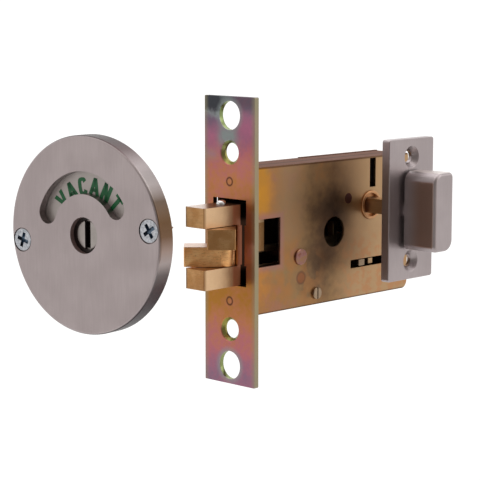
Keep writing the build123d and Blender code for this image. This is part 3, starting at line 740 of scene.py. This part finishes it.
def bow(first, last):
    """A curved stroke round the letter's middle, between two angles from the right in degrees."""
    strips = []
    steps = 14
    wide, high = (right - left) / 2, 0.5
    rings = []
    for i in range(steps + 1):
        angle = math.radians(first + (last - first) * i / steps)
        across = math.copysign(abs(math.cos(angle)) ** squareness, math.cos(angle))
        along = math.copysign(abs(math.sin(angle)) ** squareness, math.sin(angle))
        outer = (middle + wide * across, 0.5 + high * along)
        inner = (middle + (wide - stroke) * across, 0.5 + (high - bar) * along)
        rings.append((outer, inner))
    for (outer, inner), (next_outer, next_inner) in zip(rings, rings[1:]):
        strips.append([outer, next_outer, next_inner, inner])
    return strips


peak = middle - stroke / 2
letters = {
    "V": [upright(peak, 0, left - overhang, 1), upright(peak, 0, right - stroke + overhang, 1)],
    "A": [upright(left - overhang, 0, peak, 1), upright(right - stroke + overhang, 0, peak, 1),
          level(0.22, 0.12, 0.52)],
    "C": bow(24, 336),
    "N": [upright(left, 0, left, 1), upright(right - stroke, 0, right - stroke, 1),
          upright(right - stroke, 0, left, 1)],
    "T": [upright(peak, 0, peak, 1), level(1 - bar)],
    "E": [upright(left, 0, left, 1), level(0), level(0.42, left, right - 0.08), level(1 - bar)],
    "G": bow(24, 336) + [upright(right - stroke, 0.1, right - stroke, 0.5),
                         level(0.40, middle, right)],
    "D": [upright(left, 0, left, 1)] + bow(-90, 90) + [level(0, left, middle),
                                                      level(1 - bar, left, middle)],
}


def print_word(name, word, centre, spread, finish):
    """Sets a word round the dial, its middle that many degrees clockwise from the top."""
    points = []
    faces = []
    face = reach("indicator_dial")
    for i, letter in enumerate(word):
        angle = math.radians(centre + (i - (len(word) - 1) / 2) * spread)
        for outline in letters[letter]:
            first = len(points)
            for lift in (0, letter_lift * mm):
                for x, y in outline:
                    across = (x - middle) * letter_height * mm
                    along = (letter_radius + (y - 0.5) * letter_height) * mm
                    points.append(indicator_place(
                        along * math.sin(angle) + across * math.cos(angle),
                        along * math.cos(angle) - across * math.sin(angle),
                        face + lift,
                    ))
            count = len(outline)
            faces.append([first + count + k for k in range(count)])
            for k in range(count):
                after = (k + 1) % count
                faces.append((first + k, first + after, first + count + after, first + count + k))
    make_piece(name, points, faces, finish, "dial")


def printed(name, dark, light):
    """Printing ink, a little uneven."""
    finish = Finish(name, Roughness=0.45)
    finish.wear(Base_Color=finish.mix(finish.noise(1.2, 3), dark, light))
    return finish


green_ink = printed("green ink", (0.001, 0.11, 0.030), (0.003, 0.17, 0.050))
red_ink = printed("red ink", (0.30, 0.012, 0.010), (0.42, 0.022, 0.016))
print_word("word_vacant", "VACANT", -1, 19, green_ink)
print_word("word_engaged", "ENGAGED", 179, 17, red_ink)


# Coin turn
# The outer end of the turn: a turned steel button sunk in the dish, with a wide slot for a coin and
# a square socket behind for the spindle, kept in by a circlip.

turn_radius = 5.3
turn_slot_level = 2.5
film = Finish("turned steel button", Metallic=1.0)
colour = film.mix(film.noise(2.5, 3), (0.36, 0.33, 0.31), (0.50, 0.47, 0.45))
# Painted shade: the coin slot is painted near black and rougher, with a dark ring at the edge.
slot = sunk(film).rise(turn_slot_level, turn_slot_level + 0.4)
colour = film.mix(slot * 0.97, colour, (0.020, 0.016, 0.015))
shaded_turn_edge = from_axis(film).rise(turn_radius - 0.7, turn_radius - 0.1)
colour = film.mix(shaded_turn_edge * 0.7, colour, (0.060, 0.035, 0.034))
film.wear(Base_Color=colour, Roughness=0.24 + film.noise(0.8, 2) * 0.16 + slot * 0.4)
dress("coin_turn", film, 0.1)
dress("dial_circlip", spring_finish)


# Floor, light and camera
# The set hangs over a pale round floor in a white studio: bright behind, softer from the right and
# from above, warm and dimmer at the left, and dark on the camera's own side.

floor_level = -0.5
floor_reach = 1.2
floor_sides = 96
floor_mesh = bpy.data.meshes.new("floor")
turns = [2 * math.pi * i / floor_sides for i in range(floor_sides)]
rim_points = [(floor_reach * math.cos(a), floor_reach * math.sin(a), floor_level) for a in turns]
floor_mesh.from_pydata(rim_points, [], [tuple(range(floor_sides))])
floor = bpy.data.objects.new("floor", floor_mesh)
bpy.context.scene.collection.objects.link(floor)
floor_finish = Finish("pale floor", Roughness=0.9)
colour = floor_finish.mix(floor_finish.noise(900, 1), (0.80, 0.80, 0.80), (0.83, 0.83, 0.83))
floor_finish.wear(Base_Color=colour)
floor_mesh.materials.append(floor_finish.material)

world = bpy.data.worlds.new("studio")
bpy.context.scene.world = world
world.use_nodes = True
sky = Board(world.node_tree, "Background", "Generated", 1)
away = sky.along((0.714, 0.700, 0))
right_hand = sky.along((0.700, -0.714, 0))
strength = 0.27 + away.rise(-0.95, -0.25) * 0.55 + away.rise(0.25, 0.80) * 0.30
strength = strength + right_hand * 0.05
strength = strength * (1 - sky.z.rise(-0.30, -0.80) * 0.55)
warmth = 1 - away.rise(-0.9, 0.6)
sky.wear(Color=sky.mix(warmth, (1.0, 0.995, 0.99), (1.0, 0.93, 0.88)), Strength=strength)


def soft_box(name, place, target, width, height, power):
    light = bpy.data.lights.new(name, "AREA")
    light.shape = "RECTANGLE"
    light.size = width
    light.size_y = height
    light.energy = power
    lamp = bpy.data.objects.new(name, light)
    lamp.location = place
    lamp.rotation_euler = (Vector(target) - Vector(place)).to_track_quat("-Z", "Y").to_euler()
    bpy.context.scene.collection.objects.link(lamp)


soft_box("box above", (0.4, 0.5, 1.9), (0.3, 0.4, 0), 3.0, 3.0, 24)
soft_box("window right", (0.9, -1.1, 0.7), (0, 0, 0), 0.9, 0.9, 3)

eye = Vector((-0.4356, -0.4318, 0.0874))
view_azimuth = math.radians(-45.6)
view_elevation = math.radians(8.06)
back = Vector((
    math.sin(view_azimuth) * math.cos(view_elevation),
    -math.cos(view_azimuth) * math.cos(view_elevation),
    math.sin(view_elevation),
))
camera_right = Vector((math.cos(view_azimuth), math.sin(view_azimuth), 0))
camera_up = back.cross(camera_right)
lens = bpy.data.cameras.new("camera")
lens.lens = 129.6
lens.sensor_width = 36
lens.clip_start = 0.01
camera = bpy.data.objects.new("camera", lens)
turned = Matrix((camera_right, camera_up, back)).transposed()
camera.matrix_world = Matrix.Translation(eye) @ turned.to_4x4()
bpy.context.scene.collection.objects.link(camera)
bpy.context.scene.camera = camera
bpy.context.scene.view_settings.view_transform = "Standard"
